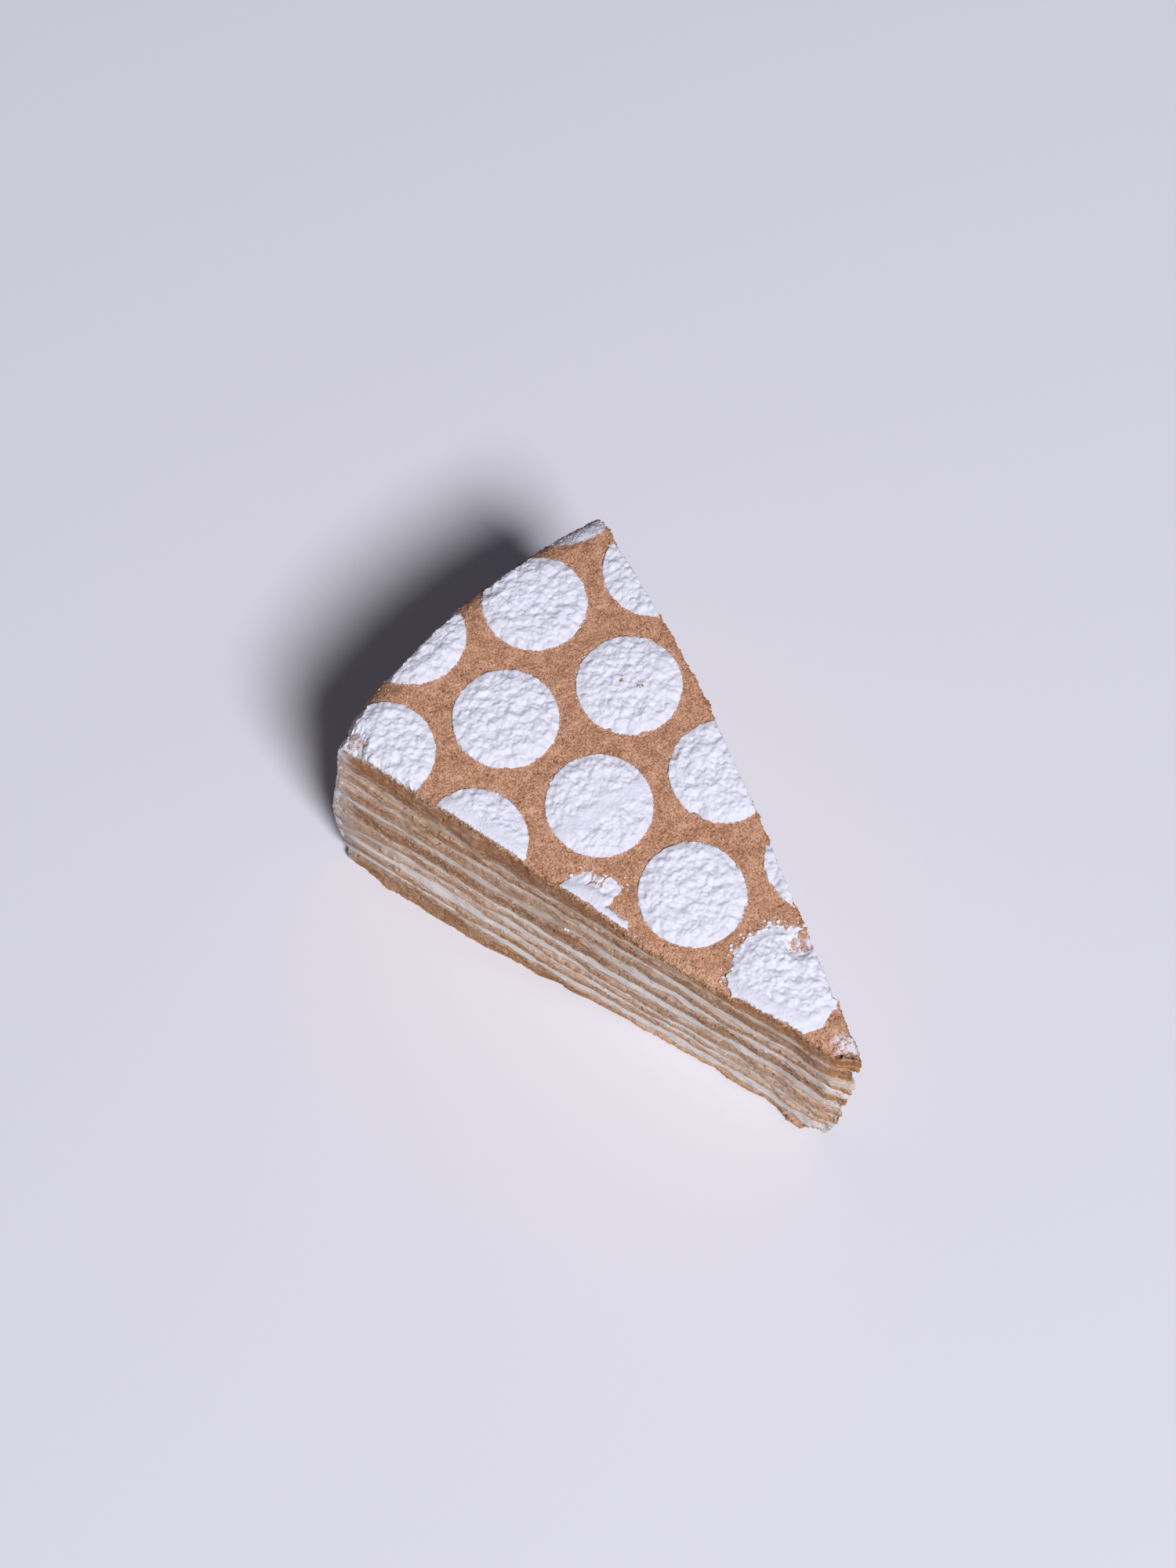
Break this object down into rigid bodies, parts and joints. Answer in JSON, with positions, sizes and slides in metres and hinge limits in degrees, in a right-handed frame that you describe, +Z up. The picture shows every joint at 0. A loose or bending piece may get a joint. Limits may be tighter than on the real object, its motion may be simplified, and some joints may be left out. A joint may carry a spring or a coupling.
{
  "type": "honey cake slice",
  "caption": "Upright wedge of layered honey cake: thin biscuit and cream layers, a crumbed top and outer side, and flat discs of icing sugar on top.",
  "frame": {"origin": "middle of the base's bounding rectangle, on the surface the slice stands on", "axes": "+Z up, the tip of the slice towards +X and the round outer side towards -X, the cut face seen from the front towards -Y"},
  "size_m": [0.1246, 0.074, 0.0675],
  "materials": {
    "biscuit": "dry open crumb, golden brown, cut edges slightly darker",
    "cream": "soft satin, off-white, smeared where the knife passed",
    "crumbs": "fine dry crumbs, matt, warm brown",
    "icing_sugar": "powdery matt white with small lumps"
  },
  "bodies": {
    "root": {"biscuit_layer_1": "biscuit", "biscuit_layer_2": "biscuit", "biscuit_layer_3": "biscuit", "biscuit_layer_4": "biscuit", "biscuit_layer_5": "biscuit", "biscuit_layer_6": "biscuit", "biscuit_layer_7": "biscuit", "biscuit_layer_8": "biscuit", "cream_coat": "cream", "cream_layer_1": "cream", "cream_layer_2": "cream", "cream_layer_3": "cream", "cream_layer_4": "cream", "cream_layer_5": "cream", "cream_layer_6": "cream", "cream_layer_7": "cream", "crumb_coat": "crumbs", "sugar_dot_1": "icing_sugar", "sugar_dot_2": "icing_sugar", "sugar_dot_3": "icing_sugar", "sugar_dot_4": "icing_sugar", "sugar_dot_5": "icing_sugar", "sugar_dot_6": "icing_sugar", "sugar_dot_7": "icing_sugar", "sugar_dot_8": "icing_sugar", "sugar_dot_9": "icing_sugar", "sugar_dot_10": "icing_sugar", "sugar_dot_11": "icing_sugar", "sugar_dot_12": "icing_sugar", "sugar_dot_13": "icing_sugar"}
  },
  "joints": []
}
